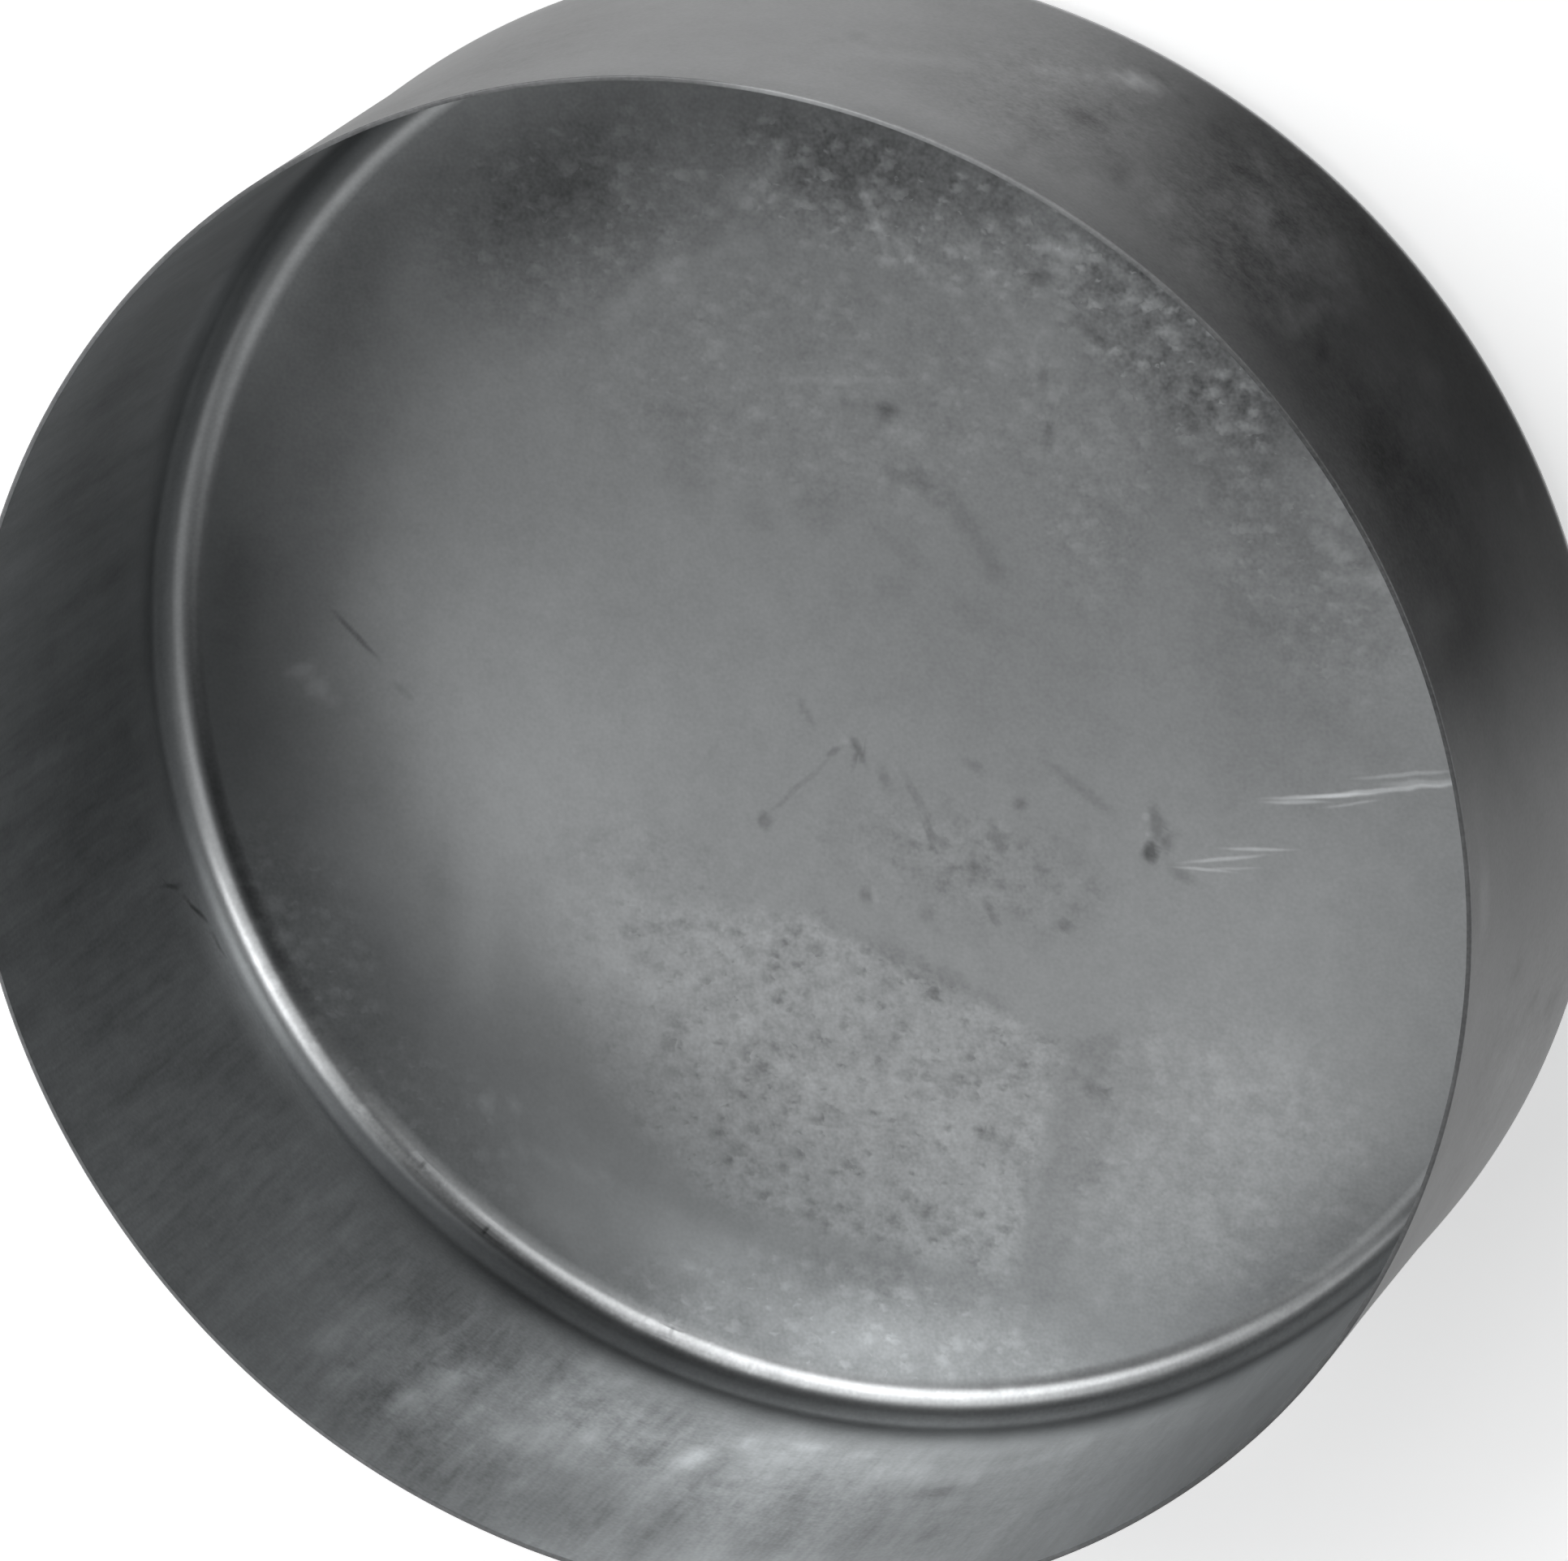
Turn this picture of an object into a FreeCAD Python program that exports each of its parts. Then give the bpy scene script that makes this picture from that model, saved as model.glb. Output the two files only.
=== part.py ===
import FreeCAD, Part
import math
import os

# An end cap for a round ventilation duct. It is one cup, drawn in a press from a
# flat disc of galvanised sheet steel: a flat closed end, a round bend and a
# straight wall that slips over the end of the duct. The sheet keeps its thickness
# all the way, and the rim is the bare cut edge of the sheet.
#
# Lengths are in millimetres. The outer face of the closed end lies on the XY
# plane, the middle of that face is the origin, and the open mouth faces +Z.

# Driving dimensions
DUCT_DIAMETER = 200.0       # nominal diameter of the duct end that goes into the cap
SLIP_ALLOWANCE = 0.3        # how much wider than that the cap is inside
SHEET_THICKNESS = 0.6       # galvanised sheet steel
OVERALL_DEPTH = 65.0        # outer face of the closed end to the rim
INNER_BEND_RADIUS = 5.4     # nose radius of the punch, inside the bend
RIM_ROUNDING = 0.15         # outer corner of the cut edge, rolled over by the trimming die

# Dimensions that follow from them
BORE_RADIUS = (DUCT_DIAMETER + SLIP_ALLOWANCE) / 2
WALL_RADIUS = BORE_RADIUS + SHEET_THICKNESS
OUTER_BEND_RADIUS = INNER_BEND_RADIUS + SHEET_THICKNESS
FLAT_RADIUS = BORE_RADIUS - INNER_BEND_RADIUS


def section_point(radius, height):
    """A point of the cup's half section, which lies in the XZ plane."""
    return FreeCAD.Vector(radius, 0, height)


def bend_arc(bend_radius):
    """A quarter turn from the closed end into the wall, round the bend's centre."""
    diagonal = bend_radius * math.sqrt(0.5)
    start = section_point(FLAT_RADIUS, OUTER_BEND_RADIUS - bend_radius)
    middle = section_point(FLAT_RADIUS + diagonal, OUTER_BEND_RADIUS - diagonal)
    end = section_point(FLAT_RADIUS + bend_radius, OUTER_BEND_RADIUS)
    return Part.Arc(start, middle, end).toShape()


def sheet_section():
    """The sheet cut through along a radius, from the middle of the closed end to the rim."""
    outer_middle = section_point(0, 0)
    outer_flat_end = section_point(FLAT_RADIUS, 0)
    outer_wall_foot = section_point(WALL_RADIUS, OUTER_BEND_RADIUS)
    outer_rim = section_point(WALL_RADIUS, OVERALL_DEPTH)
    inner_rim = section_point(BORE_RADIUS, OVERALL_DEPTH)
    inner_wall_foot = section_point(BORE_RADIUS, OUTER_BEND_RADIUS)
    inner_flat_end = section_point(FLAT_RADIUS, SHEET_THICKNESS)
    inner_middle = section_point(0, SHEET_THICKNESS)

    outline = [
        Part.makeLine(outer_middle, outer_flat_end),
        bend_arc(OUTER_BEND_RADIUS),
        Part.makeLine(outer_wall_foot, outer_rim),
        Part.makeLine(outer_rim, inner_rim),
        Part.makeLine(inner_rim, inner_wall_foot),
        bend_arc(INNER_BEND_RADIUS),
        Part.makeLine(inner_flat_end, inner_middle),
        Part.makeLine(inner_middle, outer_middle),
    ]
    return Part.Face(Part.Wire(outline))


def drawn_cup():
    """The whole cup, with the section turned once about the duct's axis."""
    axis_point = FreeCAD.Vector(0, 0, 0)
    duct_axis = FreeCAD.Vector(0, 0, 1)
    return sheet_section().revolve(axis_point, duct_axis, 360)


def outer_rim_corner(cup):
    """The circle where the cut edge meets the outside of the wall."""
    return [edge for edge in cup.Edges
            if isinstance(edge.Curve, Part.Circle)
            and math.isclose(edge.Curve.Radius, WALL_RADIUS)
            and math.isclose(edge.Curve.Center.z, OVERALL_DEPTH)]


def end_cap():
    """The finished cap. Trimming rolls the outer corner of its rim and leaves the inner one sharp."""
    cup = drawn_cup()
    rounding = min(RIM_ROUNDING, 0.5 * SHEET_THICKNESS)
    return cup.makeFillet(rounding, outer_rim_corner(cup))


os.makedirs("parts", exist_ok=True)
cap = end_cap()
cap.exportStep("parts/end_cap.step")

print("solids", len(cap.Solids), "valid", cap.isValid(), "volume mm3", round(cap.Volume, 1))
print("box", cap.optimalBoundingBox())
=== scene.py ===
import math

import bmesh
import bpy
import numpy as np
from mathutils import Matrix, Vector, noise


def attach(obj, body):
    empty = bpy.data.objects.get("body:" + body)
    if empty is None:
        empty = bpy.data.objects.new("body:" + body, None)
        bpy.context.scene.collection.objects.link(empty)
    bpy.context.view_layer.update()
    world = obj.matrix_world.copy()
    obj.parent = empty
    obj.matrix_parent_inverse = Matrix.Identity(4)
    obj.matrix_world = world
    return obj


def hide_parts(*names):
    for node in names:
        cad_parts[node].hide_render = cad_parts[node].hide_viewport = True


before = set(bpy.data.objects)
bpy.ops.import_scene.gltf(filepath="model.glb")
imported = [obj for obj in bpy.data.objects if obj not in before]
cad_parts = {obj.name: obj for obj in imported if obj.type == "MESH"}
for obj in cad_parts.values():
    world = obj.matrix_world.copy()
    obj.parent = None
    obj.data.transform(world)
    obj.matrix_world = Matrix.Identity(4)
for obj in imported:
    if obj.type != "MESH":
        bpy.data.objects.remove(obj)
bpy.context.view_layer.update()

# A drawn end cap for a round ventilation duct: one cup of galvanised sheet steel,
# lying on its closed end with the open mouth up. The origin is the middle of the
# closed end's outer face and +Z is the duct's axis. Lengths written with MM are
# metres, and the plain ones are millimetres.

MM = 0.001

# The formed sheet
WALL_RADIUS = 100.75 * MM
OVERALL_DEPTH = 65.0 * MM
SHEET = 0.6 * MM
OUTER_BEND = 6.0 * MM
FLAT_RADIUS = WALL_RADIUS - OUTER_BEND
RIM_ROUNDING = 0.15 * MM
LEVEL_TOLERANCE = 0.02 * MM

# The finished cap is made a hair under size about this point, so that the CAD solid's box holds it
UNDER_SIZE = (0.9996, 0.9996, 0.9998)
SIZED_ABOUT = (0, 0, 0.2 * MM)

# Its faces: steps round the axis and round the bend, and rings up the wall and across the closed
# end. Close beside each round corner one ring more keeps its smooth shading off the straight sheet.
ROUND_STEPS = 288
BEND_STEPS = 14
WALL_RINGS = (6.4, *range(8, 64, 2), 64.7)
RING_STEP = 3.0 * MM
FLAT_EDGE_RING = 0.3 * MM
MIDDLE_RING = 7.0 * MM
SMOOTH_BELOW = math.radians(35)

# Slackness of the sheet, and the millimetres over which it sets in up the wall, eases towards
# the stiffer rim, and ends on the flat
SLACK_LENGTH = 38 * MM
SLACK_DEPTH = 0.28 * MM
SLACK_SETS_IN = (7, 18)
SLACK_EASES = (50, 65)
SLACK_ENDS = (66, 90)
RIM_STIFFNESS = 0.75

# The pit in the closed end and the nick in the rim, in millimetres: where they are, how far
# round them the sheet gave way, and which way it was pushed
INNER_FACE = 0.6
PIT = (38.9, -16.0, INNER_FACE)
PIT_REACH = 1.5
PIT_PUSH = (0.03, 0, -0.12)
NICK_ANGLE = 94.8
NICK_REACH = 0.7
NICK_PUSH = (0, 0, -0.20)

# Ticks across the bend: angle, distance from the axis, height
BEND_TICKS = ((229.0, 97.0, 1.1), (236.2, 97.9, 1.6), (253.2, 96.6, 0.9))
TICK_HALF_LENGTH = 0.7
TICK_HALF_RISE = 0.2
TICK_HALF_SIZES = (0.45, 0.9)

# Marks narrower than this, as half widths, need a finer net of faces, out to so far beside them
THIN_ON_CLOSED_END = 0.9
THIN_ON_WALL = 1.1
FINE_NET = 1.2 * MM
FINEST_NET = 0.8 * MM
PIT_NET = 2.6 * MM


# Camera, fitted to the rims and the closed end's edge in the photograph

CAMERA_PLACE = (0.42014175, 0.4273794, 1.18742878)
CAMERA_RIGHT = (0.93965432, 0.0, -0.34212535)
CAMERA_UP = (-0.11248701, 0.94440345, -0.3089479)
CAMERA_BACK = (0.32310436, 0.32878889, 0.88741278)
CAMERA_LENS = 233.318


def photograph_camera():
    """A long lens above the near rim, rolled as the photograph was taken."""
    data = bpy.data.cameras.new("camera")
    data.lens = CAMERA_LENS
    data.sensor_width = 36.0
    data.sensor_fit = "HORIZONTAL"
    data.clip_start = 0.05
    data.clip_end = 60.0
    camera = bpy.data.objects.new("camera", data)
    bpy.context.scene.collection.objects.link(camera)
    placed = Matrix((CAMERA_RIGHT, CAMERA_UP, CAMERA_BACK)).transposed().to_4x4()
    placed.translation = CAMERA_PLACE
    camera.matrix_world = placed
    bpy.context.scene.camera = camera


# Colours and nodes

# The Mix node's sockets for its two inputs and its result, by the kind of value
MIX_SOCKETS = {"FLOAT": (2, 3, 0), "RGBA": (6, 7, 2)}


def colour(hex_code):
    """An sRGB hex colour as the linear values that a shader takes."""
    channels = [int(hex_code[i:i + 2], 16) / 255 for i in (1, 3, 5)]
    linear = [c / 12.92 if c <= 0.04045 else ((c + 0.055) / 1.055) ** 2.4 for c in channels]
    return (*linear, 1.0)


def add_node(tree, kind, settings=None, inputs=None):
    """One node, with its own settings, and for each socket its value or the socket that feeds it."""
    node = tree.nodes.new(kind)
    for name, setting in (settings or {}).items():
        setattr(node, name, setting)
    for socket, source in (inputs or {}).items():
        if isinstance(source, bpy.types.NodeSocket):
            tree.links.new(source, node.inputs[socket])
        else:
            node.inputs[socket].default_value = source
    return node


def calculate(tree, operation, *terms, clamp=False):
    """A sum, product or the like of sockets and plain numbers."""
    return add_node(tree, "ShaderNodeMath", {"operation": operation, "use_clamp": clamp},
                    dict(enumerate(terms))).outputs[0]


def between(tree, value, low, high, curve="SMOOTHSTEP"):
    """0 where the value is at low, 1 where it is at high, and a curve between."""
    return add_node(tree, "ShaderNodeMapRange", {"interpolation_type": curve},
                    {"Value": value, "From Min": low, "From Max": high}).outputs["Result"]


def mixed(tree, kind, share, first, second):
    """The first where share is 0 and the second where it is 1. kind is FLOAT or RGBA."""
    socket, other_socket, result = MIX_SOCKETS[kind]
    return add_node(tree, "ShaderNodeMix", {"data_type": kind},
                    {0: share, socket: first, other_socket: second}).outputs[result]


def length_of(tree, vector):
    return add_node(tree, "ShaderNodeVectorMath", {"operation": "LENGTH"}, {0: vector}).outputs["Value"]


def empty_material(name):
    material = bpy.data.materials.new(name)
    material.use_nodes = True
    material.node_tree.nodes.clear()
    return material, material.node_tree


def show_surface(tree, shader):
    add_node(tree, "ShaderNodeOutputMaterial", inputs={"Surface": shader.outputs[0]})


def only(obj):
    bpy.ops.object.select_all(action="DESELECT")
    obj.select_set(True)
    bpy.context.view_layer.objects.active = obj


# Light and floor

# Softboxes: name, azimuth and elevation in degrees, distance, width and height in metres, radiance
LAMPS = (
    ("lamp_main", 142, 57, 1.6, 0.70, 0.60, 2.92),
    ("lamp_main_right", 108, 50, 1.6, 0.70, 0.60, 2.08),
    ("lamp_main_top", 112, 72, 1.6, 0.60, 0.50, 1.66),
    ("lamp_main_low", 128, 36, 1.6, 0.70, 0.40, 1.43),
    ("lamp_main_wing", 80, 60, 1.6, 0.50, 0.60, 0.61),
    ("lamp_main_far", 160, 34, 1.6, 0.60, 0.40, 0.85),
    ("lamp_side", 26, 37, 1.6, 0.80, 0.40, 1.10),
    ("lamp_side_top", 28, 51, 1.6, 0.80, 0.35, 0.92),
    ("lamp_side_low", 22, 24, 1.6, 0.60, 0.30, 3.2),
    ("lamp_side_wing", 350, 42, 1.6, 0.35, 0.40, 0.87),
    ("lamp_fill", 243, 60, 0.7, 0.30, 0.25, 0.80),
    ("lamp_fill_low", 274, 53, 1.6, 0.55, 0.36, 0.72),
    ("lamp_fill_back", 225, 47, 0.7, 0.30, 0.25, 0.38),
    ("lamp_rear", 304, 50, 1.6, 0.40, 0.40, 0.30),
    ("lamp_rear_wing", 325, 46, 1.6, 0.40, 0.40, 0.36),
    ("lamp_rear_low", 318, 34, 1.6, 0.80, 0.30, 0.71),
    ("lamp_horizon", 206, 11, 1.6, 1.20, 0.42, 6.0),
)
# Watts of a lamp for each square metre of it and each unit of radiance
WATTS_PER_RADIANCE = 4
ROOM_COLOUR = "#e0ecf4"
ROOM_LIGHT = 0.03


def soft_lamp(name, azimuth, elevation, distance, width, height, radiance):
    """A rectangular softbox that faces the cap from that side and height."""
    a, e = math.radians(azimuth), math.radians(elevation)
    direction = Vector((math.cos(a) * math.cos(e), math.sin(a) * math.cos(e), math.sin(e)))
    data = bpy.data.lights.new(name, "AREA")
    data.shape = "RECTANGLE"
    data.size = width
    data.size_y = height
    data.energy = radiance * WATTS_PER_RADIANCE * width * height
    lamp = bpy.data.objects.new(name, data)
    bpy.context.scene.collection.objects.link(lamp)
    lamp.matrix_world = (Matrix.Translation(direction * distance)
                         @ direction.to_track_quat("Z", "Y").to_matrix().to_4x4())


def studio_light():
    for lamp in LAMPS:
        soft_lamp(*lamp)
    world = bpy.data.worlds.new("studio")
    bpy.context.scene.world = world
    world.use_nodes = True
    background = world.node_tree.nodes["Background"]
    background.inputs["Color"].default_value = colour(ROOM_COLOUR)
    background.inputs["Strength"].default_value = ROOM_LIGHT


FLOOR_RADIUS = 12.0
FLOOR_GLOW = 0.45

# The card that lies round the cap, and how far from the axis its near tones give way to its far ones
CARD_RADIUS = 150 * MM
CARD_WIDTH = 48.5 * MM
CARD_LIFT = 0.4 * MM
CARD_FADE = (108 * MM, 122 * MM)

# Glowing tones round the card, a painted reflection, from the angle CARD_START in degrees: close to the
# wall, and further out
CARD_START = -120
CARD_NEAR = (
    (-120, "#c0c0c0"), (-30, "#aeaeae"), (-15, "#a4a4a4"), (0, "#969696"), (14, "#606060"),
    (28, "#424242"), (45, "#4c4c4c"), (60, "#666666"), (74, "#b2b2b2"), (90, "#c8c8c8"),
    (180, "#cccccc"),
)
CARD_FAR = (
    (-120, "#c0c0c0"), (-30, "#8a8a8a"), (-15, "#949494"), (0, "#707070"), (14, "#303030"),
    (28, "#060606"), (45, "#303030"), (60, "#767676"), (74, "#a4a4a4"), (90, "#bcbcbc"),
    (180, "#b0b0b0"),
)


def floor_material():
    """Matt white paper. It is lit up to white for the eye and in the metal, and keeps the shadow."""
    material, tree = empty_material("white_paper")
    rays = add_node(tree, "ShaderNodeLightPath").outputs
    seen = calculate(tree, "ADD", rays["Is Camera Ray"], rays["Is Glossy Ray"], clamp=True)
    seen = calculate(tree, "ADD", seen, rays["Is Transmission Ray"], clamp=True)
    show_surface(tree, add_node(tree, "ShaderNodeBsdfPrincipled", inputs={
        "Base Color": colour("#f4f4f4"),
        "Roughness": 0.9,
        "Specular IOR Level": 0.0,
        "Emission Color": colour("#ffffff"),
        "Emission Strength": calculate(tree, "MULTIPLY", seen, FLOOR_GLOW),
    }))
    return material


def studio_floor():
    bpy.ops.mesh.primitive_circle_add(vertices=96, radius=FLOOR_RADIUS, fill_type="NGON")
    floor = bpy.context.object
    floor.name = "floor"
    floor.data.materials.append(floor_material())


def painted_reflection_material():
    """Glowing tones that go round the card, one row close to the wall and one further out: a painted
    reflection.
    """
    material, tree = empty_material("painted_reflection_glow")
    place = add_node(tree, "ShaderNodeTexCoord").outputs["Object"]
    turned = add_node(tree, "ShaderNodeMapping", {"vector_type": "TEXTURE"},
                      {"Vector": place, "Rotation": (0, 0, math.radians(CARD_START - 180))})
    sweep = add_node(tree, "ShaderNodeTexGradient", {"gradient_type": "RADIAL"},
                     {"Vector": turned.outputs["Vector"]})
    shades = []
    for stops in (CARD_NEAR, CARD_FAR):
        tones = add_node(tree, "ShaderNodeValToRGB", inputs={"Fac": sweep.outputs["Fac"]})
        ramp = tones.color_ramp
        ramp.elements.remove(ramp.elements[1])
        for index, (angle, tone) in enumerate(stops):
            at = (angle - CARD_START) / 360
            stop = ramp.elements[0] if index == 0 else ramp.elements.new(at)
            stop.position = at
            stop.color = colour(tone)
        shades.append(tones.outputs["Color"])
    further_out = between(tree, length_of(tree, place), *CARD_FADE)
    show_surface(tree, add_node(tree, "ShaderNodeEmission",
                                inputs={"Color": mixed(tree, "RGBA", further_out, *shades)}))
    return material


def floor_card():
    """A ring of card round the cap that glows with fixed tones, grey, and black on one side, and that only
    reflections show.
    It is a painted reflection: it keeps the white floor out of the wall, which shows a painted dark side
    of a room there."""
    bpy.ops.mesh.primitive_circle_add(vertices=144, radius=CARD_RADIUS, fill_type="NGON")
    card = bpy.context.object
    card.name = "floor_card"
    only(card)
    bpy.ops.object.mode_set(mode="EDIT")
    bpy.ops.mesh.select_all(action="SELECT")
    bpy.ops.mesh.inset(thickness=CARD_WIDTH)
    bpy.ops.mesh.delete(type="FACE")
    bpy.ops.mesh.select_all(action="SELECT")
    bpy.ops.transform.translate(value=(0, 0, CARD_LIFT))
    bpy.ops.object.mode_set(mode="OBJECT")
    card.data.materials.append(painted_reflection_material())
    card.visible_camera = False
    card.visible_diffuse = False
    card.visible_shadow = False


# The cap

def eased(values, low, high):
    """0 below low, 1 above high, with an easy curve between."""
    share = np.clip((values - low) / (high - low), 0, 1)
    return share * share * (3 - 2 * share)


def pick(obj, kind, wanted):
    """In edit mode: selects just the faces, edges or verts for which wanted is true."""
    bpy.ops.mesh.select_all(action="DESELECT")
    bpy.ops.mesh.select_mode(type={"faces": "FACE", "edges": "EDGE", "verts": "VERT"}[kind])
    mesh = bmesh.from_edit_mesh(obj.data)
    for element in getattr(mesh, kind):
        element.select_set(wanted(element))
    mesh.select_flush_mode()
    bmesh.update_edit_mesh(obj.data)


def at_height(edge, height):
    return all(abs(v.co.z - height) < LEVEL_TOLERANCE for v in edge.verts)


def on_outer_rim(edge):
    """True for the edges that run round the outside of the rim, and not across its thickness."""
    ends = [v.co.xy.length for v in edge.verts]
    return (at_height(edge, OVERALL_DEPTH) and min(ends) > WALL_RADIUS - 0.6 * SHEET
            and abs(ends[0] - ends[1]) < 0.3 * SHEET)


def on_inner_flat(face):
    """True for the inner face of the closed end, apart from the small faces in its middle."""
    centre = face.calc_center_median()
    return face.normal.z > 0.999 and centre.z < 1 * MM and centre.xy.length > 20 * MM


def apply_modifier(obj, kind, **settings):
    modifier = obj.modifiers.new(kind.lower(), kind)
    for name, setting in settings.items():
        setattr(modifier, name, setting)
    bpy.ops.object.modifier_apply(modifier=modifier.name)


def slack(cap):
    """Sheet is never quite flat or round: a slight inward wave, less at the rim and none at the bend."""
    group = cap.vertex_groups.new(name="slack")
    for vertex in cap.data.vertices:
        out, height = vertex.co.xy.length / MM, vertex.co.z / MM
        if height > 1:
            share = eased(height, *SLACK_SETS_IN) * (1 - RIM_STIFFNESS * eased(height, *SLACK_EASES))
        else:
            share = 1 - eased(out, *SLACK_ENDS)
        group.add([vertex.index], float(share), "REPLACE")
    wave = bpy.data.textures.new("slack", "CLOUDS")
    wave.noise_scale = SLACK_LENGTH
    apply_modifier(cap, "DISPLACE", texture=wave, texture_coords="LOCAL", vertex_group=group.name,
                   mid_level=0.0, strength=-SLACK_DEPTH)
    cap.vertex_groups.clear()


def finer(cap, lines, reach, cuts):
    """A finer net along each line, for marks that are smaller than the faces there."""
    centres = np.array([face.center for face in cap.data.polygons])
    near = np.zeros(len(centres), bool)
    for start, end in lines:
        along = np.array(end - start)
        share = np.clip((centres - start) @ along / max(along @ along, 1e-12), 0, 1)
        near |= np.linalg.norm(centres - start - share[:, None] * along, axis=1) < reach
    chosen = near.tolist()
    bpy.ops.object.mode_set(mode="EDIT")
    pick(cap, "faces", lambda face: chosen[face.index])
    bpy.ops.mesh.subdivide(number_cuts=cuts)
    bpy.ops.object.mode_set(mode="OBJECT")


def push_in(cap, place, reach, move):
    """A dent or a nick: the points near that place, moved together with an easy fall off."""
    bpy.ops.object.mode_set(mode="EDIT")
    pick(cap, "verts", lambda vertex: (vertex.co - place).length < 0.25 * reach)
    bpy.ops.transform.translate(value=move, use_proportional_edit=True, use_proportional_connected=True,
                                proportional_edit_falloff="SMOOTH", proportional_size=reach)
    bpy.ops.object.mode_set(mode="OBJECT")


def closed_end_line(mark):
    """The two ends of a mark on the closed end, in metres."""
    x, y, half_long, _, turn, _ = mark
    along = Vector((math.cos(math.radians(turn)), math.sin(math.radians(turn)), 0)) * half_long
    centre = Vector((x, y, INNER_FACE))
    return (centre - along) * MM, (centre + along) * MM


def wall_line(mark):
    """The two ends of a mark on the wall, in metres."""
    angle, level, half_wide, half_high, lean, outside, _ = mark
    out = WALL_RADIUS if outside else WALL_RADIUS - SHEET
    turn = math.radians(lean if half_wide > half_high else lean + 90)
    half_long = max(half_wide, half_high)
    ends = []
    for side in (-half_long, half_long):
        round_wall = math.radians(angle) + side * MM * math.cos(turn) / out
        ends.append(Vector((out * math.cos(round_wall), out * math.sin(round_wall),
                            (level + side * math.sin(turn)) * MM)))
    return tuple(ends)


def tick_line(angle, out, height):
    """The two ends of a tick across the bend, in metres."""
    turn = Matrix.Rotation(math.radians(angle), 3, "Z")
    return tuple(turn @ Vector((out + side * TICK_HALF_LENGTH, 0, height + side * TICK_HALF_RISE)) * MM
                 for side in (-1, 1))


def open_cup():
    """The cup's outer face, in rings: the closed end, the bend and the wall."""
    bpy.ops.object.select_all(action="DESELECT")
    bpy.ops.mesh.primitive_cylinder_add(vertices=ROUND_STEPS, radius=WALL_RADIUS, depth=OVERALL_DEPTH,
                                        end_fill_type="NGON", location=(0, 0, OVERALL_DEPTH / 2))
    cap = bpy.context.object
    cap.name = "galvanised_cap"
    cap.data.name = "galvanised_cap"
    only(cap)
    bpy.ops.object.transform_apply(location=True)
    bpy.ops.object.mode_set(mode="EDIT")
    pick(cap, "faces", lambda face: face.normal.z > 0.9)
    bpy.ops.mesh.delete(type="ONLY_FACE")

    for height in WALL_RINGS:
        bpy.ops.mesh.select_all(action="SELECT")
        bpy.ops.mesh.bisect(plane_co=(0, 0, height * MM), plane_no=(0, 0, 1))

    # The bend round the foot of the wall
    pick(cap, "edges", lambda edge: at_height(edge, 0))
    bpy.ops.mesh.bevel(offset=OUTER_BEND, segments=BEND_STEPS, affect="EDGES", profile=0.5)

    # Rings across the closed end, and a pole in its middle
    pick(cap, "faces", lambda face: face.normal.z < -0.9999)
    bpy.ops.mesh.inset(thickness=FLAT_EDGE_RING, use_even_offset=True)
    radius = FLAT_RADIUS - FLAT_EDGE_RING
    while radius > MIDDLE_RING:
        bpy.ops.mesh.inset(thickness=RING_STEP, use_even_offset=True)
        radius -= RING_STEP
    bpy.ops.mesh.poke()
    bpy.ops.object.mode_set(mode="OBJECT")
    return cap


def wear(cap):
    """Finer nets where the thin marks lie, the pit in the closed end and the nick in the rim."""
    scratches = [closed_end_line(mark) for mark in CLOSED_END_MARKS if mark[3] < THIN_ON_CLOSED_END]
    wall_scratches = [wall_line(mark) for mark in WALL_MARKS_AND_PAINTED_LIGHT if min(mark[2:4]) < THIN_ON_WALL]
    finer(cap, [*scratches, *wall_scratches], FINE_NET, cuts=3)
    finer(cap, wall_scratches, FINEST_NET, cuts=1)
    pit = Vector(PIT) * MM
    finer(cap, [(pit, pit)], PIT_NET, cuts=4)
    push_in(cap, pit, PIT_REACH * MM, Vector(PIT_PUSH) * MM)

    ticks = [tick_line(*tick) for tick in BEND_TICKS]
    rolled_corner = Vector((WALL_RADIUS - RIM_ROUNDING, 0, OVERALL_DEPTH))
    nick = Matrix.Rotation(math.radians(NICK_ANGLE), 3, "Z") @ rolled_corner
    finer(cap, [*ticks, (nick, nick)], FINE_NET, cuts=3)
    finer(cap, ticks, FINEST_NET, cuts=1)
    push_in(cap, nick, NICK_REACH * MM, Vector(NICK_PUSH) * MM)


def drawn_cup():
    cap = open_cup()
    slack(cap)

    # The sheet's thickness, inwards from the outer face
    apply_modifier(cap, "SOLIDIFY", thickness=SHEET, offset=-1.0, use_even_offset=True, use_rim=True)

    # The trimmed rim's outer corner, and a finer net for the broad marks of the closed end
    bpy.ops.object.mode_set(mode="EDIT")
    pick(cap, "edges", on_outer_rim)
    bpy.ops.mesh.bevel(offset=RIM_ROUNDING, segments=3, affect="EDGES", profile=0.5)
    pick(cap, "faces", on_inner_flat)
    bpy.ops.mesh.subdivide(number_cuts=1)
    bpy.ops.object.mode_set(mode="OBJECT")

    wear(cap)

    bpy.ops.object.mode_set(mode="EDIT")
    bpy.ops.mesh.select_all(action="SELECT")
    bpy.ops.transform.resize(value=UNDER_SIZE, center_override=SIZED_ABOUT)
    bpy.ops.object.mode_set(mode="OBJECT")
    bpy.ops.object.shade_smooth_by_angle(angle=SMOOTH_BELOW)
    return cap
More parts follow.
